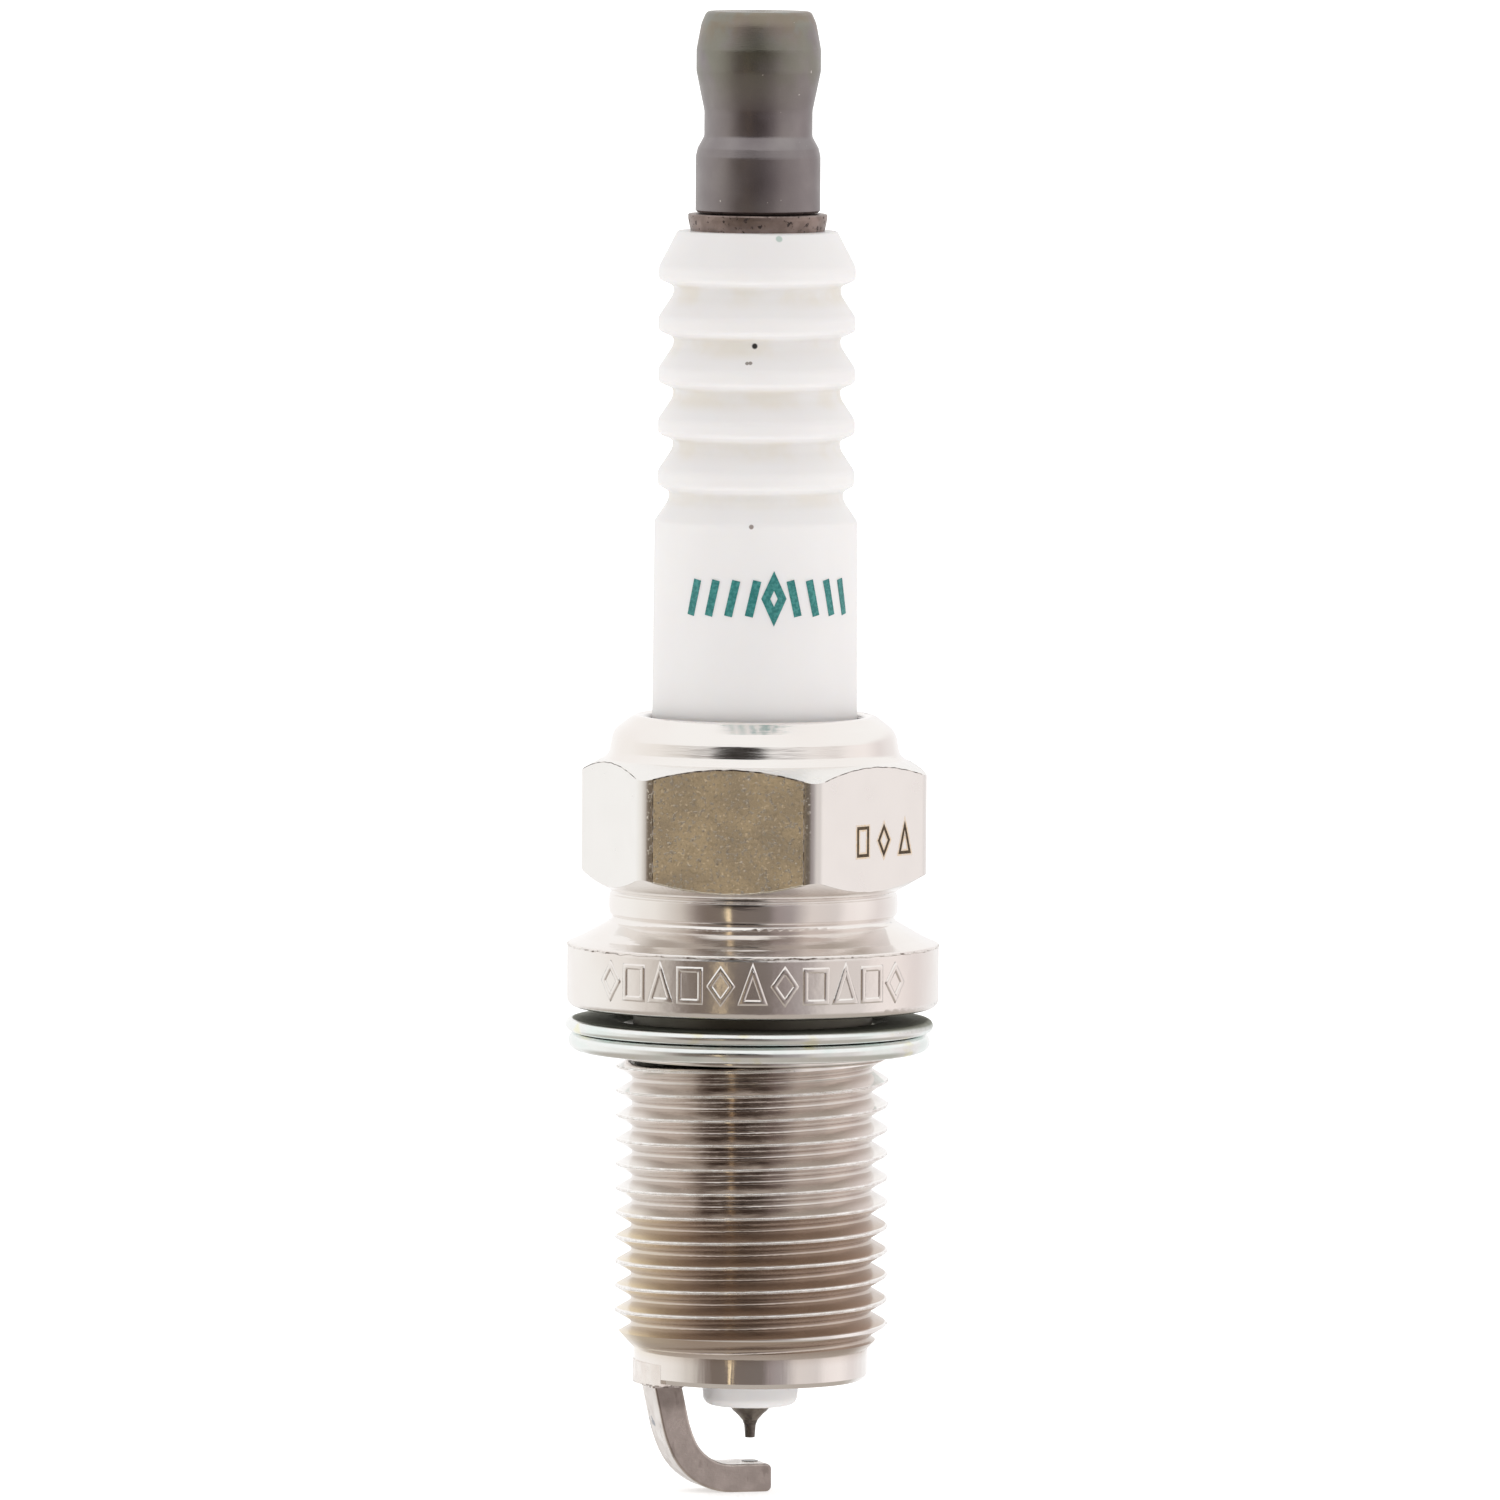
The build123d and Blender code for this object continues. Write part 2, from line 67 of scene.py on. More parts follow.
# The design's own sizes that no box or mount gives.
SLEEVE_RADIUS = 5.2 * MM
FLANGE_MIDDLE_Z = 1.75 * MM
FLANGE_EDGE_Z = 3.15 * MM
FLAT_LOW_Z, FLAT_HIGH_Z = 6.29 * MM, 12.6 * MM
FLAT_HALF_WIDTH = 3.88 * MM
FLAT_CHAMFER = math.radians(31.0)
THREAD_PITCH = 1.25 * MM
CREST_RADIUS = 6.93 * MM
CREST_LOW_Z, CREST_TURNS = -16.25 * MM, 10.8
STRAP_SIDE_AZIMUTH = math.radians(287.0)
STRAP_HALF_WIDTH = 1.2 * MM
CAMERA_SIDE = math.radians(270.0)
PRINT_AZIMUTH, PRINT_MIDDLE_Z = math.radians(280.5), 21.15 * MM
FIRST_THREAD_RADIUS, FIRST_THREAD_Z = 6.86 * MM, -2.44 * MM
BARREL_RADIUS = 3.1 * MM
FLAT_MARK_SHIFT, FLAT_MARK_DROP = 0.85 * MM, 0.6 * MM


def rgb(red, green, blue):
    return (red, green, blue, 1.0)


def on_round(azimuth, radius, height):
    return Vector((radius * math.cos(azimuth), radius * math.sin(azimuth), height))


# ---- node helpers -----------------------------------------------------------
class Nodes:
    """A node tree built by short calls that return output sockets."""

    def __init__(self, tree):
        self.tree = tree

    def node(self, kind, settings=None, **inputs):
        made = self.tree.nodes.new(kind)
        for name, value in (settings or {}).items():
            setattr(made, name, value)
        for name, value in inputs.items():
            self.feed(made.inputs[name.replace("_", " ")], value)
        return made

    def feed(self, socket, value):
        if isinstance(value, bpy.types.NodeSocket):
            self.tree.links.new(value, socket)
        else:
            socket.default_value = value

    def math(self, operation, a, b=0.0):
        made = self.node("ShaderNodeMath", {"operation": operation})
        self.feed(made.inputs[0], a)
        self.feed(made.inputs[1], b)
        return made.outputs[0]

    def both(self, first, *others):
        """The product of several masks."""
        for other in others:
            first = self.math("MULTIPLY", first, other)
        return first

    def total(self, first, *others):
        for other in others:
            first = self.math("ADD", first, other)
        return first

    def ramp(self, value, low, high, to_low=0.0, to_high=1.0):
        """value mapped smoothly from low..high to to_low..to_high."""
        made = self.node("ShaderNodeMapRange", {"interpolation_type": "SMOOTHSTEP"})
        for socket, number in zip(made.inputs, (value, low, high, to_low, to_high)):
            self.feed(socket, number)
        return made.outputs[0]

    def mix(self, share, first, second):
        made = self.node("ShaderNodeMix", {"data_type": "RGBA"})
        self.feed(made.inputs[0], share)
        self.feed(made.inputs[6], first)
        self.feed(made.inputs[7], second)
        return made.outputs[2]


class Surface(Nodes):
    """A material on the Principled shader, placed by object position."""

    def __init__(self, name):
        self.material = bpy.data.materials.new(name)
        self.material.use_nodes = True
        super().__init__(self.material.node_tree)
        self.shader = self.tree.nodes["Principled BSDF"]
        coordinates = self.node("ShaderNodeTexCoord")
        self.position = coordinates.outputs["Object"]
        split = self.node("ShaderNodeSeparateXYZ", Vector=self.position)
        self.x, self.y, self.z = split.outputs

    def stretched(self, scale):
        """The position multiplied by (x, y, z) scales."""
        made = self.node("ShaderNodeVectorMath", {"operation": "MULTIPLY"})
        self.feed(made.inputs[0], self.position)
        made.inputs[1].default_value = scale
        return made.outputs[0]

    def noise(self, size_mm, detail=3.0, stretch=None):
        """Noise from 0 to 1 whose features are about size_mm across."""
        made = self.node("ShaderNodeTexNoise")
        self.feed(made.inputs["Vector"], self.stretched(stretch) if stretch else self.position)
        made.inputs["Scale"].default_value = 1.0 / (size_mm * MM)
        made.inputs["Detail"].default_value = detail
        return made.outputs["Fac"]

    def patches(self, size_mm, low, high, detail=3.0, stretch=None):
        """Noise sharpened into patches."""
        return self.ramp(self.noise(size_mm, detail, stretch), low, high)

    def radius(self):
        """Distance from the plug's axis, in metres."""
        flat = self.node("ShaderNodeCombineXYZ", X=self.x, Y=self.y)
        made = self.node("ShaderNodeVectorMath", {"operation": "LENGTH"})
        self.feed(made.inputs[0], flat.outputs[0])
        return made.outputs["Value"]

    def within(self, low_mm, high_mm, edge_mm=0.15):
        """1 between two heights, 0 outside them."""
        above = self.ramp(self.z, (low_mm - edge_mm) * MM, (low_mm + edge_mm) * MM)
        below = self.ramp(self.z, (high_mm + edge_mm) * MM, (high_mm - edge_mm) * MM)
        return self.both(above, below)

    def facing(self, azimuth, distance):
        """1 on a flat wall that faces an azimuth at a distance from the axis."""
        along = self.total(
            self.both(self.x, math.cos(azimuth)),
            self.both(self.y, math.sin(azimuth)),
        )
        return self.ramp(along, distance - 0.06 * MM, distance - 0.02 * MM)

    def near(self, point, reach, core=0.6):
        """1 near a point, falling smoothly to 0 from a core to the edge of its reach."""
        made = self.node("ShaderNodeVectorMath", {"operation": "DISTANCE"})
        self.feed(made.inputs[0], self.position)
        made.inputs[1].default_value = point
        return self.ramp(made.outputs["Value"], core * reach, reach, 1.0, 0.0)

    def bump(self, height, strength, distance_mm):
        made = self.node("ShaderNodeBump", Height=height)
        made.inputs["Strength"].default_value = strength
        made.inputs["Distance"].default_value = distance_mm * MM
        self.tree.links.new(made.outputs[0], self.shader.inputs["Normal"])

    def finish(self, colour, roughness, metallic=1.0):
        self.feed(self.shader.inputs["Base Color"], colour)
        self.feed(self.shader.inputs["Roughness"], roughness)
        self.shader.inputs["Metallic"].default_value = metallic
        return self.material


# ---- materials --------------------------------------------------------------
def nickel_colour(s, r, masks):
    """Bright nickel: a filmed lower thread and dull patches on the front flat, with painted light:
    a darker front flat with painted glints, painted highlights on the crests, and painted shade in
    the thread roots, the crimp and the crevice under the flange.
    """
    hexagon, front, low_thread, crest, shaded_crevice = masks
    colour = s.mix(s.patches(5.0, 0.35, 0.7), rgb(0.87, 0.845, 0.82), rgb(0.85, 0.805, 0.775))
    colour = s.mix(hexagon, colour, rgb(0.86, 0.845, 0.825))
    # Painted shade: the flat facing the camera is darker and browner than the other five.
    colour = s.mix(front, colour, rgb(0.70, 0.655, 0.56))
    dull = s.both(s.patches(0.18, 0.52, 0.66, 3.0), front, 0.4)
    colour = s.mix(dull, colour, rgb(0.50, 0.46, 0.38))
    # Painted glints: small bright specks on the front flat.
    bright = s.both(s.patches(0.17, 0.64, 0.70, 1.0), front, 0.65)
    colour = s.mix(bright, colour, rgb(1.0, 0.97, 0.88))
    # The lower thread's brownish film is real; its lighter gold at the left edge and darker brown
    # towards the middle and right are painted light and shade.
    film = s.mix(s.ramp(s.x, -6.0 * MM, -2.5 * MM), rgb(0.80, 0.70, 0.54), rgb(0.52, 0.415, 0.34))
    colour = s.mix(s.both(low_thread, 0.9), colour, film)
    # Painted shade: the thread roots darker.
    root_shade = s.both(s.ramp(r, 6.75 * MM, 6.3 * MM), s.within(-17.3, -2.5))
    colour = s.mix(s.both(root_shade, 0.55), colour, rgb(0.56, 0.49, 0.44))
    # Painted reflection: darker patches in the column facing the camera, where the thread mirrors
    # the dark camera side.
    column = s.both(s.ramp(s.x, -3.8 * MM, -2.4 * MM), s.ramp(s.x, 2.4 * MM, 0.2 * MM))
    dark_reflection_patches = s.both(s.patches(0.4, 0.35, 0.62, 2.0, (0.3, 0.3, 1.6)), s.within(-10.6, -2.5), 0.7)
    colour = s.mix(s.both(column, dark_reflection_patches), colour, rgb(0.40, 0.34, 0.31))
    # Painted highlight: the thread crests lighter.
    colour = s.mix(crest, colour, rgb(0.93, 0.91, 0.89))
    # Painted shade: near-black inside the crimp where it meets the insulator.
    crimp_shade = s.both(s.within(13.6, 15.2), s.ramp(r, 5.75 * MM, 5.5 * MM))
    colour = s.mix(s.both(crimp_shade, 0.8), colour, rgb(0.14, 0.12, 0.11))
    # Painted shade: dark in the crevice under the flange.
    return s.mix(shaded_crevice, colour, rgb(0.30, 0.29, 0.25))


def nickel_relief(s, front):
    """Turning rings, streaks on the land, pits on the front flat, dents in the flange."""
    land = s.within(-19.5, -17.4)
    flange = s.within(0.0, 3.3)
    rings = s.noise(1.2, 2.0, (1.0, 1.0, 9.0))
    streaks = s.both(s.noise(0.5, 2.0, (1.0, 1.0, 0.12)), land, 2.4)
    pits = s.both(s.patches(0.2, 0.60, 0.68, 2.0), front, 4.0)
    dents = s.both(s.noise(0.55, 2.0), flange, 3.0)
    ripple = s.both(s.noise(0.5, 2.0, (0.3, 0.3, 1.0)), s.within(-17.3, -2.6), 0.8)
    s.bump(s.total(rings, streaks, pits, dents, ripple), 0.25, 0.02)


def nickel_plate():
    """Bright nickel over turned steel."""
    s = Surface("nickel_plate")
    r = s.radius()
    hexagon = s.both(s.within(6.3, 12.7), s.ramp(r, 7.5 * MM, 7.8 * MM))
    front = s.both(s.facing(front_flat_azimuth, flat_distance), hexagon)
    low_thread = s.within(-17.5, -10.4, 0.6)
    # The thread crests, painted lighter as highlight.
    crest = s.both(s.ramp(r, 6.82 * MM, 6.9 * MM), s.within(-17.3, -2.6))
    # The crevice under the flange: painted dark as shade, and made rougher.
    shaded_crevice = s.both(s.within(-1.9, 0.02), s.ramp(r, 9.46 * MM, 9.3 * MM))
    masks = hexagon, front, low_thread, crest, shaded_crevice
    nickel_relief(s, front)
    smear = s.ramp(s.noise(1.6), 0.3, 0.75, 0.09, 0.16)
    rough = s.total(
        smear,
        s.both(hexagon, 0.12),
        s.both(s.within(0.0, 3.3), 0.09),
        s.both(low_thread, 0.10),
        s.both(shaded_crevice, 0.4),
    )
    return s.finish(nickel_colour(s, r, masks), rough)


def worn_crest():
    """Bare bright metal torn along the thread's crest."""
    s = Surface("worn_crest")
    colour = s.mix(s.patches(0.5, 0.35, 0.65), rgb(0.96, 0.95, 0.94), rgb(0.80, 0.76, 0.73))
    s.bump(s.noise(0.12, 3.0, (0.4, 0.4, 1.0)), 0.3, 0.01)
    return s.finish(colour, s.ramp(s.noise(0.4), 0.3, 0.7, 0.2, 0.36))


# Small stains: azimuth in degrees, height, radius and reach in millimetres, colour.
INSULATOR_SPECKS = (
    (268.5, 33.94, 4.30, 0.18, rgb(0.02, 0.015, 0.015)),
    (266.0, 33.08, 4.70, 0.13, rgb(0.25, 0.22, 0.20)),
    (264.0, 33.06, 4.70, 0.13, rgb(0.25, 0.22, 0.20)),
    (267.5, 24.80, 5.15, 0.15, rgb(0.28, 0.23, 0.21)),
    (285.0, 39.4, 4.25, 0.22, rgb(0.45, 0.54, 0.50)),
)


def glazed_alumina():
    """Ivory-white ceramic under clear glaze, warmer and darker in the grooves: partly glaze
    pooling, partly painted shade and warm bounce light.
    """
    s = Surface("glazed_alumina")
    r = s.radius()
    colour = s.mix(s.patches(6.0, 0.3, 0.7), rgb(0.81, 0.80, 0.797), rgb(0.79, 0.775, 0.775))
    # Grooves: partly glaze pooling, partly painted shade and warm bounce light.
    groove = s.both(s.ramp(r, 4.75 * MM, 4.3 * MM), s.within(25.2, 37.2, 0.5))
    pooled_glaze_and_shade = s.both(groove, s.ramp(s.noise(2.2), 0.35, 0.65, 0.1, 0.6))
    colour = s.mix(pooled_glaze_and_shade, colour, rgb(0.75, 0.70, 0.605))
    for azimuth, height, radius, reach, tint in INSULATOR_SPECKS:
        spot = on_round(math.radians(azimuth), radius * MM, height * MM)
        colour = s.mix(s.near(spot, reach * MM), colour, tint)
    s.bump(s.noise(0.9, 2.0), 0.05, 0.05)
    s.shader.inputs["Coat Weight"].default_value = 0.35
    s.shader.inputs["Coat Roughness"].default_value = 0.08
    s.shader.inputs["Subsurface Weight"].default_value = 0.2
    s.shader.inputs["Subsurface Radius"].default_value = (1.0, 0.8, 0.6)
    s.shader.inputs["Subsurface Scale"].default_value = 0.8 * MM
    return s.finish(colour, 0.45, 0.0)


# Painted dark reflections down the barrel's camera-facing front: height and reach in millimetres,
# colour.
NUT_PAINTED_REFLECTIONS = (
    (49.0, 2.0, rgb(0.150, 0.145, 0.110)),
    (45.1, 1.7, rgb(0.150, 0.125, 0.135)),
    (42.2, 2.4, rgb(0.185, 0.160, 0.170)),
)


def dull_steel():
    """The terminal barrel: dark and matt, stained brown and green near the top, with painted dark
    reflections down its front and painted sparkle.
    """
    s = Surface("dull_steel")
    colour = s.mix(s.patches(2.5, 0.3, 0.7), rgb(0.31, 0.285, 0.285), rgb(0.26, 0.235, 0.24))
    top = s.both(s.ramp(s.z, 45.5 * MM, 48.5 * MM), s.patches(1.7, 0.3, 0.6))
    colour = s.mix(top, colour, rgb(0.27, 0.265, 0.23))
    stain = s.both(s.ramp(s.z, 48.6 * MM, 50.4 * MM), s.patches(1.1, 0.42, 0.62), 0.4)
    colour = s.mix(stain, colour, rgb(0.27, 0.19, 0.12))
    # Painted reflection: soft dark patches on the side facing the camera.
    for height, reach, tint in NUT_PAINTED_REFLECTIONS:
        spot = on_round(CAMERA_SIDE, BARREL_RADIUS, height * MM)
        colour = s.mix(s.both(s.near(spot, reach * MM, 0.0), 0.8), colour, tint)
    # Painted highlight: small bright specks as glints.
    painted_sparkle = s.patches(0.2, 0.78, 0.82, 1.0)
    colour = s.mix(painted_sparkle, colour, rgb(0.75, 0.72, 0.68))
    turning = s.noise(0.4, 2.0, (1.0, 1.0, 10.0))
    s.bump(s.total(turning, s.noise(0.15)), 0.15, 0.02)
    return s.finish(colour, s.ramp(s.noise(1.2), 0.3, 0.7, 0.34, 0.43))


def stained_steel():
    """The stud and its collar: brownish plate with dark pits round the rim."""
    s = Surface("stained_steel")
    colour = s.mix(s.patches(0.8, 0.35, 0.65), rgb(0.34, 0.27, 0.245), rgb(0.25, 0.195, 0.175))
    pits = s.patches(0.3, 0.56, 0.68)
    colour = s.mix(pits, colour, rgb(0.10, 0.08, 0.075))
    s.bump(s.noise(0.3), 0.35, 0.03)
    return s.finish(colour, s.ramp(pits, 0.0, 1.0, 0.38, 0.7))


def zinc_plate():
    """Bright zinc with a thin yellow and rose colour film, with painted shade inside its top fold.
    """
    s = Surface("zinc_plate")
    r = s.radius()
    wide = s.noise(2.4, 2.0, (1.0, 1.0, 2.5))
    colour = s.mix(s.ramp(wide, 0.35, 0.55), rgb(0.80, 0.86, 0.84), rgb(0.86, 0.88, 0.87))
    colour = s.mix(s.ramp(wide, 0.60, 0.70), colour, rgb(0.86, 0.85, 0.66))
    colour = s.mix(s.ramp(wide, 0.70, 0.78), colour, rgb(0.84, 0.73, 0.77))
    # Painted shade: the top fold under the flange made dark, and rougher.
    top = s.both(s.ramp(s.z, -1.05 * MM, -0.95 * MM), s.ramp(r, 9.28 * MM, 9.15 * MM))
    colour = s.mix(top, colour, rgb(0.30, 0.31, 0.26))
    s.bump(s.noise(0.25), 0.14, 0.02)
    rough = s.total(s.ramp(s.noise(0.7), 0.3, 0.7, 0.14, 0.26), s.both(top, 0.4))
    return s.finish(colour, rough)


def drawn_strip():
    """Nickel-alloy strip: brighter outside; the cut side facing the camera browner, partly its
    sheared finish, partly painted shade; a few burns.
    """
    s = Surface("drawn_strip")
    outer = s.mix(s.patches(1.1, 0.3, 0.7), rgb(0.80, 0.76, 0.73), rgb(0.69, 0.64, 0.61))
    side = s.mix(s.patches(0.9, 0.3, 0.7), rgb(0.68, 0.61, 0.57), rgb(0.52, 0.46, 0.43))
    # The cut side facing the camera: partly its sheared finish, partly painted shade.
    on_side = s.facing(STRAP_SIDE_AZIMUTH, STRAP_HALF_WIDTH)
    colour = s.mix(on_side, outer, side)
    scratches = s.patches(0.22, 0.58, 0.70, 3.0, (0.5, 0.5, 0.2))
    colour = s.mix(s.both(scratches, 0.4), colour, rgb(0.30, 0.25, 0.23))
    outside = s.math("SUBTRACT", 1.0, on_side)
    burns = s.both(s.patches(0.6, 0.58, 0.68), s.within(-22.8, -20.8, 0.4), outside)
    colour = s.mix(s.both(burns, 0.8), colour, rgb(0.20, 0.22, 0.27))
    # A darker band just below the weld, on the side facing the camera.
    dark_band_below_weld = s.both(s.within(-20.4, -19.0, 0.3), on_side, 0.45)
    colour = s.mix(dark_band_below_weld, colour, rgb(0.25, 0.21, 0.19))
    lines = s.noise(0.1, 2.0, (0.25, 0.25, 1.0))
    s.bump(s.total(s.noise(0.16, 4.0), lines), 0.3, 0.02)
    return s.finish(colour, s.ramp(s.noise(0.9), 0.3, 0.7, 0.27, 0.4))


def weld_metal():
    """Smooth fused metal with a light plate over it, with painted shade along its lower edge where
    it meets the strap.
    """
    s = Surface("weld_metal")
    colour = s.mix(s.patches(0.8, 0.3, 0.7), rgb(0.87, 0.83, 0.80), rgb(0.80, 0.74, 0.70))
    # Painted shade: broken dark band under the bead's lower edge.
    seam = s.both(s.ramp(s.z, -19.12 * MM, -19.2 * MM), s.patches(0.35, 0.40, 0.62))
    colour = s.mix(seam, colour, rgb(0.26, 0.22, 0.20))
    s.bump(s.noise(0.5), 0.25, 0.04)
    return s.finish(colour, s.ramp(s.noise(0.5), 0.3, 0.7, 0.16, 0.3))


def two_tone(name, light, dark, grain_mm, roughness, bump=0.3, stretch=None):
    """Bare metal with two tones and a fine grain."""
    s = Surface(name)
    colour = s.mix(s.patches(2 * grain_mm, 0.3, 0.7), light, dark)
    s.bump(s.noise(grain_mm, 3.0, stretch), bump, 0.01)
    return s.finish(colour, s.ramp(s.noise(3 * grain_mm), 0.3, 0.7, *roughness))


def hidden_piece(name, light, dark, roughness, metallic):
    """A sealed inner piece: grainy, with its own two tones."""
    s = Surface(name)
    s.bump(s.noise(0.2, 4.0), 0.4, 0.03)
    return s.finish(s.mix(s.patches(0.5, 0.35, 0.65, 4.0), light, dark), roughness, metallic)


def print_ink():
    """Teal pad-printed ink, thin at its edges."""
    s = Surface("print_ink")
    colour = s.mix(s.patches(0.16, 0.35, 0.7), rgb(0.012, 0.16, 0.155), rgb(0.05, 0.27, 0.25))
    s.bump(s.noise(0.1, 2.0), 0.2, 0.01)
    return s.finish(colour, 0.4, 0.0)


def burnt_mark():
    """Laser-darkened metal, brown at its rim."""
    s = Surface("burnt_mark")
    colour = s.mix(s.patches(0.12, 0.3, 0.7), rgb(0.045, 0.03, 0.018), rgb(0.12, 0.08, 0.04))
    s.bump(s.noise(0.08), 0.4, 0.01)
    return s.finish(colour, 0.6, 0.3)


def scorched():
    """The straw-brown tint round a burnt mark."""
    s = Surface("scorched")
    colour = s.mix(s.patches(0.15, 0.3, 0.7), rgb(0.82, 0.66, 0.46), rgb(0.84, 0.78, 0.70))
    s.bump(s.noise(0.1, 2.0), 0.2, 0.01)
    return s.finish(colour, 0.3)


def burr_shade():
    """Painted shade along an edge's burr, broken where the plate shows through."""
    s = Surface("burr_shade")
    colour = s.mix(s.patches(0.5, 0.42, 0.62), rgb(0.09, 0.07, 0.06), rgb(0.62, 0.57, 0.53))
    s.bump(s.noise(0.1), 0.4, 0.01)
    return s.finish(colour, 0.4)


def rolled_burr():
    """Nickel folded over at an edge, with painted shade in gaps here and there."""
    s = Surface("rolled_burr")
    # Painted shade in the fold's gaps.
    gaps = s.both(s.patches(1.3, 0.42, 0.58), s.patches(0.3, 0.35, 0.6))
    colour = s.mix(gaps, rgb(0.84, 0.80, 0.77), rgb(0.20, 0.16, 0.14))
    s.bump(s.noise(0.15), 0.4, 0.01)
    return s.finish(colour, 0.3)


def pale_floor():
    """White paper, lit a little from behind so that it stays white."""
    s = Surface("pale_floor")
    s.shader.inputs["Emission Color"].default_value = rgb(1.0, 1.0, 1.0)
    s.shader.inputs["Emission Strength"].default_value = 0.45
    colour = s.mix(s.patches(40.0, 0.2, 0.8), rgb(0.93, 0.93, 0.93), rgb(0.95, 0.95, 0.95))
    return s.finish(colour, 0.9, 0.0)


# ---- mesh helpers -----------------------------------------------------------
def wrapped(radius, azimuth, height):
    """Maps (along, up, out), in metres, onto a round wall at an azimuth and height."""
    def place(along, up, out):
        return on_round(azimuth + along / radius, radius + out, height + up)
    return place


def on_flat(distance, azimuth, height):
    """Maps (along, up, out), in metres, onto a flat wall facing an azimuth."""
    outward = Vector((math.cos(azimuth), math.sin(azimuth), 0.0))
    across = Vector((-math.sin(azimuth), math.cos(azimuth), 0.0))

    def place(along, up, out):
        return outward * (distance + out) + across * along + Vector((0.0, 0.0, height + up))
    return place


def ragged(place, size, shift, swell):
    """The same map, wandering up and down and in height every size or so along."""
    def uneven(along, up, out):
        where = Vector((along / size, 0.0, 0.0))
        wander = noise.noise(where) * shift
        height = 1.0 + noise.noise(where + Vector((0.0, 7.3, 0.0))) * swell
        return place(along, up + wander, out * height)
    return uneven


def divided(stroke, step):
    """The stroke's points with more put in, no further apart than step."""
    points = []
    for (x0, y0), (x1, y1) in zip(stroke, stroke[1:]):
        parts = max(1, math.ceil(math.hypot(x1 - x0, y1 - y0) / step))
        for part in range(parts):
            share = part / parts
            points.append((x0 + (x1 - x0) * share, y0 + (y1 - y0) * share))
    return points + [stroke[-1]]


def side_steps(points, closed):
    """The sideways direction at each point, mitred at corners."""
    steps = []
    count = len(points)
    for index, point in enumerate(points):
        inside = closed or 0 < index < count - 1
        before = points[index - 1] if inside or index else point
        after = points[(index + 1) % count] if inside or index == 0 else point
        incoming = (Vector(point) - Vector(before)).normalized()
        outgoing = (Vector(after) - Vector(point)).normalized()
        along = (incoming + outgoing).normalized()
        mitre = 1.0 / max(0.35, along.dot(outgoing)) if outgoing.length else 1.0
        steps.append(Vector((-along.y, along.x)) * mitre)
    return steps


def ridge_mesh(strokes, profile, place, step):
    """One mesh of ridges: a profile of (side, out) points carried along each stroke."""
    vertices, faces = [], []
    count = len(profile)
    for stroke in strokes:
        closed = stroke[0] == stroke[-1]
        points = divided(stroke, step)
        if closed:
            points = points[:-1]
        first = len(vertices)
        for (x, y), side in zip(points, side_steps(points, closed)):
            for across, out in profile:
                vertices.append(place(x + side.x * across, y + side.y * across, out))
        rows = len(points) if closed else len(points) - 1
        for row in range(rows):
            here = first + row * count
            there = first + (row + 1) % len(points) * count
            for column in range(count):
                after = (column + 1) % count
                faces.append((here + column, there + column, there + after, here + after))
        if not closed:
            end = first + (len(points) - 1) * count
            faces.append(tuple(range(first, first + count)))
            faces.append(tuple(reversed(range(end, end + count))))
    return vertices, faces


def joined(meshes):
    """Several (vertices, faces) pairs as one."""
    vertices, faces = [], []
    for more_vertices, more_faces in meshes:
        first = len(vertices)
        vertices += more_vertices
        faces += [tuple(first + corner for corner in face) for face in more_faces]
    return vertices, faces


def add_piece(name, mesh_data, material, smooth=False):
    """A fixed piece on the plug's body."""
    vertices, faces = mesh_data
    mesh = bpy.data.meshes.new(name)
    mesh.from_pydata(vertices, [], faces)
    mesh.update()
    mesh.materials.append(material)
    if smooth:
        mesh.shade_smooth()
    piece = bpy.data.objects.new(name, mesh)
    bpy.context.scene.collection.objects.link(piece)
    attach(piece, "plug")


SLASH = [(0.25, 0.0), (0.75, 1.0)]
BACKSLASH = [(0.75, 0.0), (0.25, 1.0)]
DIAMOND = [(0.5, 0.0), (1.0, 0.5), (0.5, 1.0), (0.0, 0.5), (0.5, 0.0)]
SQUARE = [(0.0, 0.0), (1.0, 0.0), (1.0, 1.0), (0.0, 1.0), (0.0, 0.0)]
TRIANGLE = [(0.0, 0.0), (1.0, 0.0), (0.5, 1.0), (0.0, 0.0)]


def row_of(shapes, pitch, width, height):
    """Strokes for shapes drawn in a unit box, sized and set out in a row centred on 0."""
    strokes = []
    for number, shape in enumerate(shapes):
        middle = (number - (len(shapes) - 1) / 2) * pitch
        strokes.append([(middle + (x - 0.5) * width, (y - 0.5) * height) for x, y in shape])
    return strokes


def flat_profile(width, lift):
    half = width / 2
    return [(-half, -lift), (half, -lift), (half, lift), (-half, lift)]


def round_profile(width, lift, sink):
    half = width / 2
    return [
        (-half, -sink),
        (half, -sink),
        (half * 0.8, lift * 0.55),
        (half * 0.3, lift),
        (-half * 0.3, lift),
        (-half * 0.8, lift * 0.55),
    ]


# ---- pieces -----------------------------------------------------------------
def insulator_print():
    """A generic printed band: slanted bars to each side of a diamond, in teal ink."""
    strokes = row_of([SLASH] * 4 + [DIAMOND] + [BACKSLASH] * 4, 1.07 * MM, 0.84 * MM, 1.82 * MM)
    place = wrapped(SLEEVE_RADIUS, PRINT_AZIMUTH, PRINT_MIDDLE_Z)
    mesh = ridge_mesh(strokes, flat_profile(0.42 * MM, 0.02 * MM), place, 0.2 * MM)
    add_piece("insulator_print", mesh, print_ink())


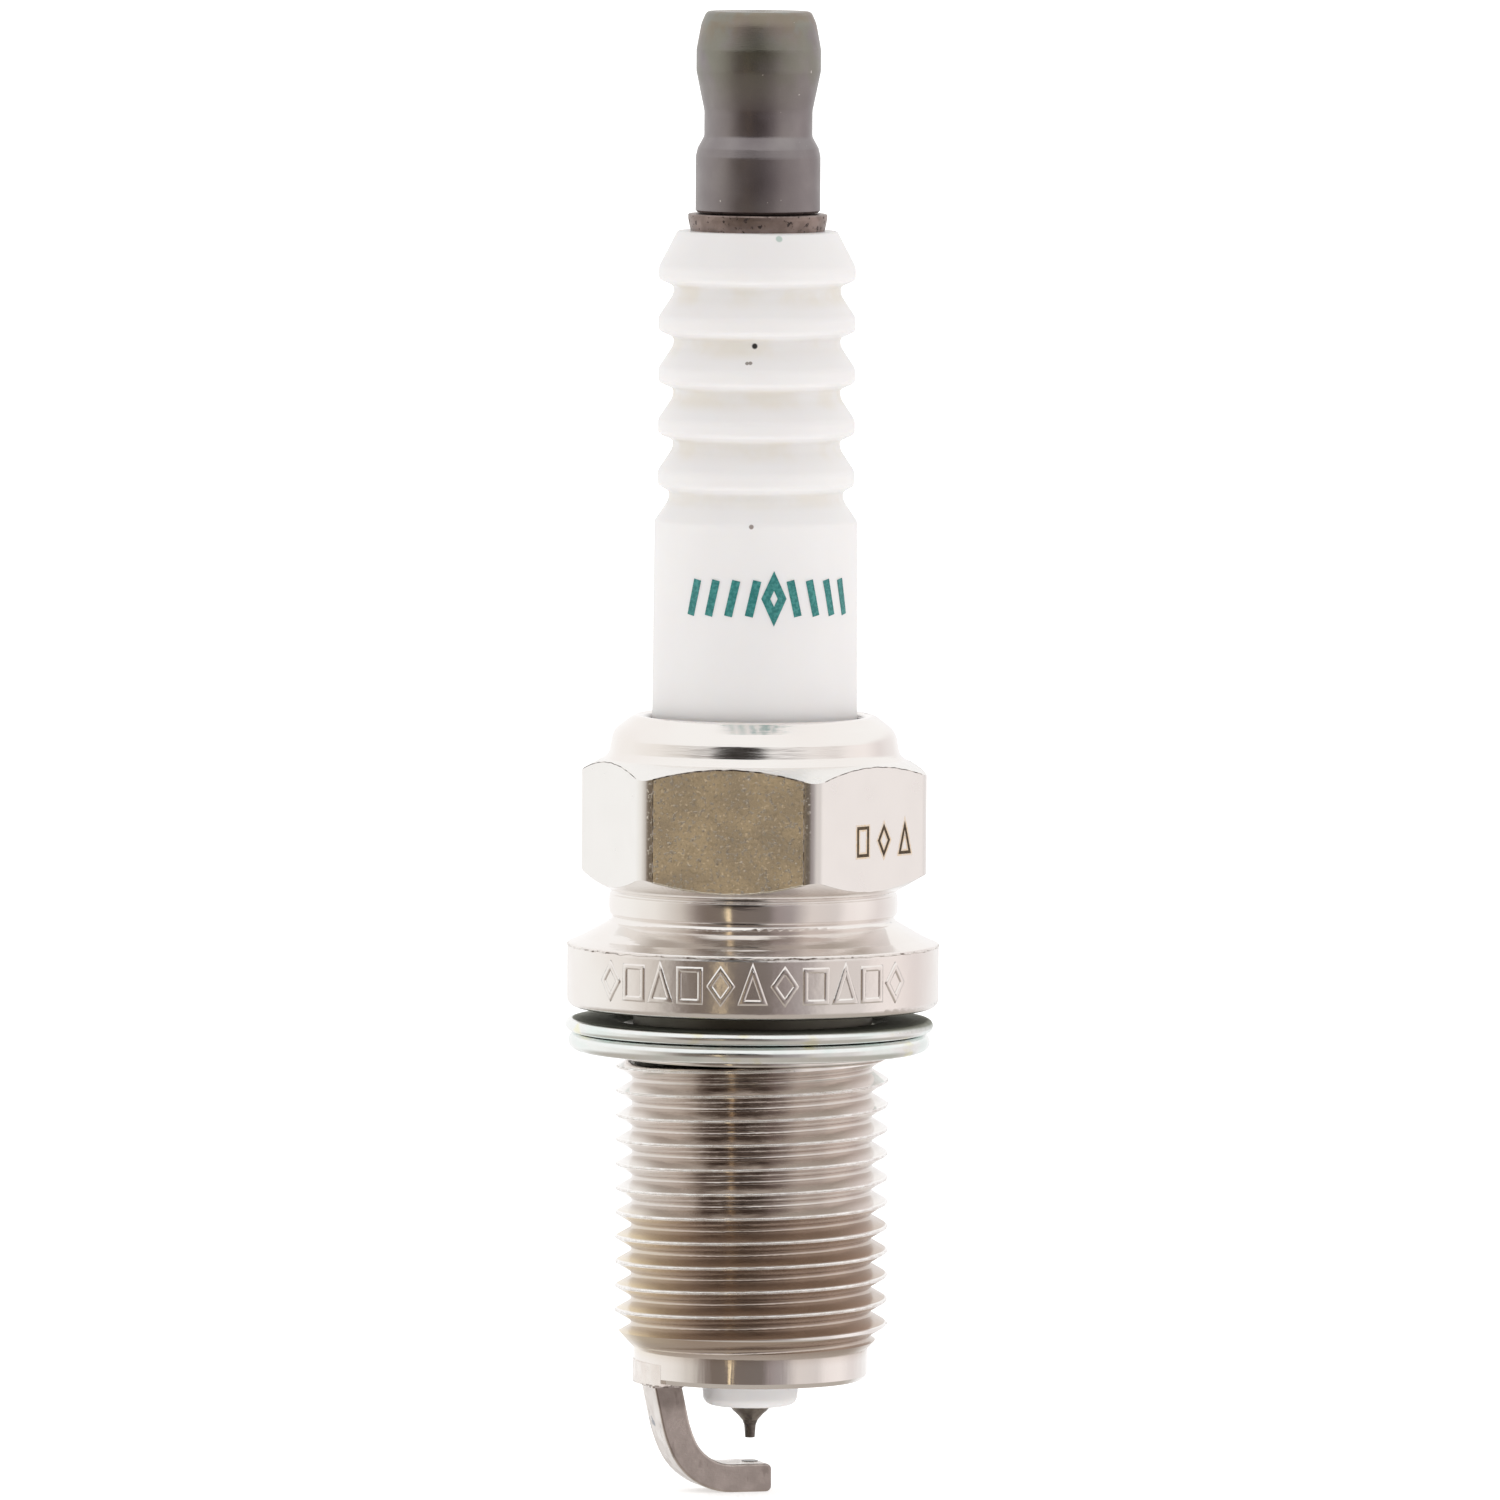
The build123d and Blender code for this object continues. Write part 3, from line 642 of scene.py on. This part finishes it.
def hexagon_marks():
    """Three small burnt outlines on one flat, each in a scorched halo."""
    place = on_flat(flat_distance, right_flat_azimuth, flat_middle_z - FLAT_MARK_DROP)
    strokes = row_of([SQUARE, DIAMOND, TRIANGLE], 1.68 * MM, 0.8 * MM, 1.4 * MM)
    moved = [[(x + FLAT_MARK_SHIFT, y) for x, y in stroke] for stroke in strokes]
    halo = ridge_mesh(moved, flat_profile(0.34 * MM, 0.003 * MM), place, 0.5 * MM)
    mark = ridge_mesh(moved, flat_profile(0.16 * MM, 0.006 * MM), place, 0.5 * MM)
    add_piece("hexagon_mark_halos", halo, scorched())
    add_piece("hexagon_marks", mark, burnt_mark())


def flat_arcs():
    """The curved top and bottom edges of one flat, as (along, up) from its middle."""
    steps = 16
    across = [FLAT_HALF_WIDTH * (2 * step / steps - 1) for step in range(steps + 1)]
    slope = math.tan(FLAT_CHAMFER)
    drops = [(math.hypot(flat_distance, x) - flat_distance) * slope for x in across]
    top = [(x, FLAT_HIGH_Z - drop - flat_middle_z) for x, drop in zip(across, drops)]
    low = [(x, FLAT_LOW_Z + drop - flat_middle_z) for x, drop in zip(across, drops)]
    return top, low


def hexagon_edges(nickel):
    """The die's burr round the flats: painted dark as shade along the top, bright along the
    bottom.
    """
    top, low = flat_arcs()
    sides = [[low[0], top[0]], [low[-1], top[-1]]]
    thin = round_profile(0.045 * MM, 0.010 * MM, 0.01 * MM)
    thick = round_profile(0.075 * MM, 0.014 * MM, 0.01 * MM)
    step = 0.25 * MM
    dark, bright = [], []
    for side in range(6):
        azimuth = front_flat_azimuth + side * math.pi / 3
        place = ragged(on_flat(flat_distance, azimuth, flat_middle_z), 0.5 * MM, 0.03 * MM, 0.5)
        dark.append(ridge_mesh([top], thin if side else thick, place, step))
        bright.append(ridge_mesh([low], thin if side else thick, place, step))
    place = on_flat(flat_distance, front_flat_azimuth, flat_middle_z)
    dark.append(ridge_mesh(sides, thin, place, step))
    add_piece("hexagon_top_burr", joined(dark), burr_shade())
    add_piece("hexagon_low_burr", joined(bright), nickel, smooth=True)


def flange_marks(nickel):
    """A rolled row of raised outlines round the flange."""
    shapes = [DIAMOND, SQUARE, TRIANGLE, SQUARE, DIAMOND, TRIANGLE]
    shapes += shapes[-2::-1]
    strokes = row_of(shapes, 1.64 * MM, 1.15 * MM, 1.62 * MM)
    place = ragged(wrapped(flange_radius, CAMERA_SIDE, FLANGE_MIDDLE_Z), 0.7 * MM, 0.0, 0.5)
    profile = round_profile(0.34 * MM, 0.055 * MM, 0.05 * MM)
    mesh = ridge_mesh(strokes, profile, place, 0.12 * MM)
    add_piece("flange_marks", mesh, nickel, smooth=True)


def flange_burr():
    """The torn lip that rolling leaves along the flange's top edge."""
    radius = flange_radius - 0.01 * MM
    half_round = math.pi * radius
    place = ragged(wrapped(radius, CAMERA_SIDE, FLANGE_EDGE_Z), 0.6 * MM, 0.07 * MM, 0.9)
    profile = round_profile(0.09 * MM, 0.025 * MM, 0.05 * MM)
    mesh = ridge_mesh([[(-half_round, 0.0), (half_round, 0.0)]], profile, place, 0.15 * MM)
    add_piece("flange_burr", mesh, rolled_burr(), smooth=True)


def thread_crests():
    """The bright seam that thread rolling leaves along the crest."""
    length = CREST_TURNS * math.tau * CREST_RADIUS
    rise = CREST_TURNS * THREAD_PITCH
    place = ragged(wrapped(CREST_RADIUS, 0.0, CREST_LOW_Z), 0.5 * MM, 0.035 * MM, 0.8)
    profile = round_profile(0.13 * MM, 0.035 * MM, 0.03 * MM)
    mesh = ridge_mesh([[(0.0, 0.0), (length, rise)]], profile, place, 0.25 * MM)
    add_piece("thread_crests", mesh, worn_crest(), smooth=True)


def first_thread(nickel):
    """The thread's rounded, unfinished start just under the gasket."""
    half_round = math.pi * FIRST_THREAD_RADIUS
    place = wrapped(FIRST_THREAD_RADIUS, CAMERA_SIDE, FIRST_THREAD_Z)
    profile = round_profile(0.34 * MM, 0.07 * MM, 0.3 * MM)
    mesh = ridge_mesh([[(-half_round, 0.0), (half_round, 0.0)]], profile, place, 0.3 * MM)
    add_piece("first_thread", mesh, nickel, smooth=True)


# ---- stage, light and camera ------------------------------------------------
def floor():
    bpy.ops.mesh.primitive_circle_add(
        vertices=96, radius=4.0, fill_type="NGON", location=(0, 0, cad_low.z)
    )
    made = bpy.context.object
    made.name = "floor"
    made.data.materials.append(pale_floor())
    made.visible_glossy = False


# The white tent's colour round the object, by degrees from the camera towards +X:
# dark where the camera and its stand are, white at the back.
TENT = (
    (-180, (1.06, 1.05, 1.05)),
    (-120, (1.03, 1.02, 1.00)),
    (-85, (0.94, 0.91, 0.87)),
    (-60, (0.66, 0.61, 0.56)),
    (-45, (0.27, 0.225, 0.20)),
    (-38, (0.20, 0.16, 0.135)),
    (12, (0.20, 0.17, 0.155)),
    (19, (0.36, 0.31, 0.305)),
    (31, (0.40, 0.36, 0.355)),
    (47, (0.80, 0.74, 0.71)),
    (70, (0.76, 0.71, 0.69)),
    (82, (0.98, 0.92, 0.90)),
    (100, (1.02, 0.96, 0.94)),
    (120, (0.86, 0.80, 0.79)),
    (160, (1.02, 1.01, 1.01)),
)
TENT_TOP = rgb(1.04, 1.03, 1.02)
TENT_TOP_FROM, TENT_TOP_TO = 0.14, 0.38
TENT_LOW = rgb(0.52, 0.475, 0.43)
TENT_LOW_FROM, TENT_LOW_TO = 0.28, 0.6
LAMP_AZIMUTH, LAMP_HALF_WIDTH = math.radians(-19.8), math.radians(1.9)
LAMP_SPREAD = 0.2, 0.4
LAMP = rgb(1.15, 0.92, 0.60)
LENS_AZIMUTH, LENS_HALF_WIDTH = math.radians(-12.0), math.radians(24.0)
LENS_RISE, LENS_HALF_HEIGHT = 0.23, 0.19
LENS = rgb(0.025, 0.020, 0.018)
LENS_CORE, LENS_EDGE = 0.35, 1.35


def tent_wheel(n, turn):
    """The tent's colour at a turn from the camera."""
    wheel = n.node("ShaderNodeValToRGB")
    n.feed(wheel.inputs[0], n.math("ADD", n.math("DIVIDE", turn, math.tau), 0.5))
    stops = wheel.color_ramp.elements
    while len(stops) < len(TENT):
        stops.new(1.0)
    for stop, (degrees, colour) in zip(stops, TENT):
        stop.position = degrees / 360 + 0.5
        stop.color = rgb(*colour)
    return wheel.outputs[0]


def off_centre(n, value, centre, half):
    """How far a value is from a centre, in half widths, squared."""
    off = n.math("DIVIDE", n.math("SUBTRACT", value, centre), half)
    return n.math("MULTIPLY", off, off)


def tent_light():
    """A tent, dark round the camera's lens, with one narrow warm lamp beside it."""
    world = bpy.data.worlds.new("tent")
    world.use_nodes = True
    bpy.context.scene.world = world
    n = Nodes(world.node_tree)
    direction = n.node("ShaderNodeTexCoord").outputs["Generated"]
    x, y, z = n.node("ShaderNodeSeparateXYZ", Vector=direction).outputs
    turn = n.math("ARCTAN2", x, n.math("MULTIPLY", y, -1.0))
    lamp = n.ramp(off_centre(n, turn, LAMP_AZIMUTH, LAMP_HALF_WIDTH), 0.25, 1.7, 1.0, 0.0)
    level = n.ramp(n.math("ABSOLUTE", z), *LAMP_SPREAD, 1.0, 0.0)
    colour = n.mix(n.both(lamp, level), tent_wheel(n, turn), LAMP)
    colour = n.mix(n.ramp(z, TENT_TOP_FROM, TENT_TOP_TO), colour, TENT_TOP)
    colour = n.mix(n.ramp(n.both(z, -1.0), TENT_LOW_FROM, TENT_LOW_TO), colour, TENT_LOW)
    away = n.math(
        "ADD",
        off_centre(n, turn, LENS_AZIMUTH, LENS_HALF_WIDTH),
        off_centre(n, z, LENS_RISE, LENS_HALF_HEIGHT),
    )
    colour = n.mix(n.ramp(away, LENS_CORE, LENS_EDGE, 1.0, 0.0), colour, LENS)
    n.feed(world.node_tree.nodes["Background"].inputs["Color"], colour)


CAMERA_DISTANCE = 0.90
CAMERA_RISE = math.radians(4.0)
CAMERA_ROLL = math.radians(0.37)
CAMERA_TARGET = Vector((-0.22, 0.0, 13.1)) * MM
VIEW_WIDTH = 76.6 * MM


def camera():
    data = bpy.data.cameras.new("camera")
    data.sensor_width = 36.0
    data.lens = data.sensor_width * CAMERA_DISTANCE / VIEW_WIDTH
    data.clip_start = 0.05
    data.clip_end = 50.0
    made = bpy.data.objects.new("camera", data)
    bpy.context.scene.collection.objects.link(made)
    back = Vector((0.0, -math.cos(CAMERA_RISE), math.sin(CAMERA_RISE)))
    turn = (-back).to_track_quat("-Z", "Y").to_matrix().to_4x4()
    roll = Matrix.Rotation(CAMERA_ROLL, 4, "Z")
    made.matrix_world = Matrix.Translation(CAMERA_TARGET + back * CAMERA_DISTANCE) @ turn @ roll
    bpy.context.scene.camera = made


# ---- putting it together ----------------------------------------------------
STEEL = rgb(0.55, 0.54, 0.52), rgb(0.42, 0.41, 0.40)
GLASS = rgb(0.30, 0.19, 0.13), rgb(0.20, 0.12, 0.09)
TALC = rgb(0.85, 0.85, 0.82), rgb(0.74, 0.74, 0.70)
CARBON = rgb(0.060, 0.060, 0.065), rgb(0.030, 0.030, 0.030)
COPPER = rgb(0.85, 0.48, 0.32), rgb(0.70, 0.36, 0.23)
PIN_NICKEL = rgb(0.34, 0.31, 0.28), rgb(0.25, 0.22, 0.20)
IRIDIUM = rgb(0.20, 0.18, 0.165), rgb(0.13, 0.115, 0.105)
PLATINUM = rgb(0.16, 0.15, 0.14), rgb(0.10, 0.09, 0.085)
FUSED_RIM = rgb(0.80, 0.77, 0.74), rgb(0.60, 0.56, 0.53)


def dress_outside(nickel):
    pin = two_tone("electrode_nickel", *PIN_NICKEL, 0.15, (0.28, 0.42))
    return {
        "shell": nickel,
        "insulator": glazed_alumina(),
        "terminal_nut": dull_steel(),
        "terminal_stud": stained_steel(),
        "gasket": zinc_plate(),
        "ground_electrode": drawn_strip(),
        "strap_weld": weld_metal(),
        "centre_electrode": pin,
        "tip_weld": pin,
        "iridium_tip": two_tone("dark_iridium", *IRIDIUM, 0.1, (0.3, 0.45), 0.3, (1.0, 1.0, 0.25)),
        "platinum_chip": two_tone("chip_platinum", *PLATINUM, 0.1, (0.25, 0.4)),
        "chip_rim": two_tone("chip_rim_metal", *FUSED_RIM, 0.08, (0.2, 0.35)),
    }


def dress_inside():
    glass = hidden_piece("glass", *GLASS, 0.3, 0.2)
    wire = hidden_piece("ring_steel", *STEEL, 0.35, 1.0)
    return {
        "upper_packing_ring": wire,
        "lower_packing_ring": wire,
        "seat_packing": hidden_piece("washer_steel", *STEEL, 0.4, 1.0),
        "talc_filling": hidden_piece("talc", *TALC, 0.9, 0.0),
        "upper_glass_seal": glass,
        "lower_glass_seal": glass,
        "resistor": hidden_piece("resistor_carbon", *CARBON, 0.8, 0.0),
        "electrode_core": hidden_piece("copper", *COPPER, 0.3, 1.0),
    }


def dress_cad_nodes(nickel):
    for name, material in {**dress_outside(nickel), **dress_inside()}.items():
        for slot in frame["nodes"][name].material_slots:
            slot.material = material


camera()
tent_light()
floor()
nickel = nickel_plate()
dress_cad_nodes(nickel)
insulator_print()
hexagon_marks()
hexagon_edges(nickel)
flange_marks(nickel)
flange_burr()
thread_crests()
first_thread(nickel)
bpy.context.scene.view_settings.view_transform = "Standard"
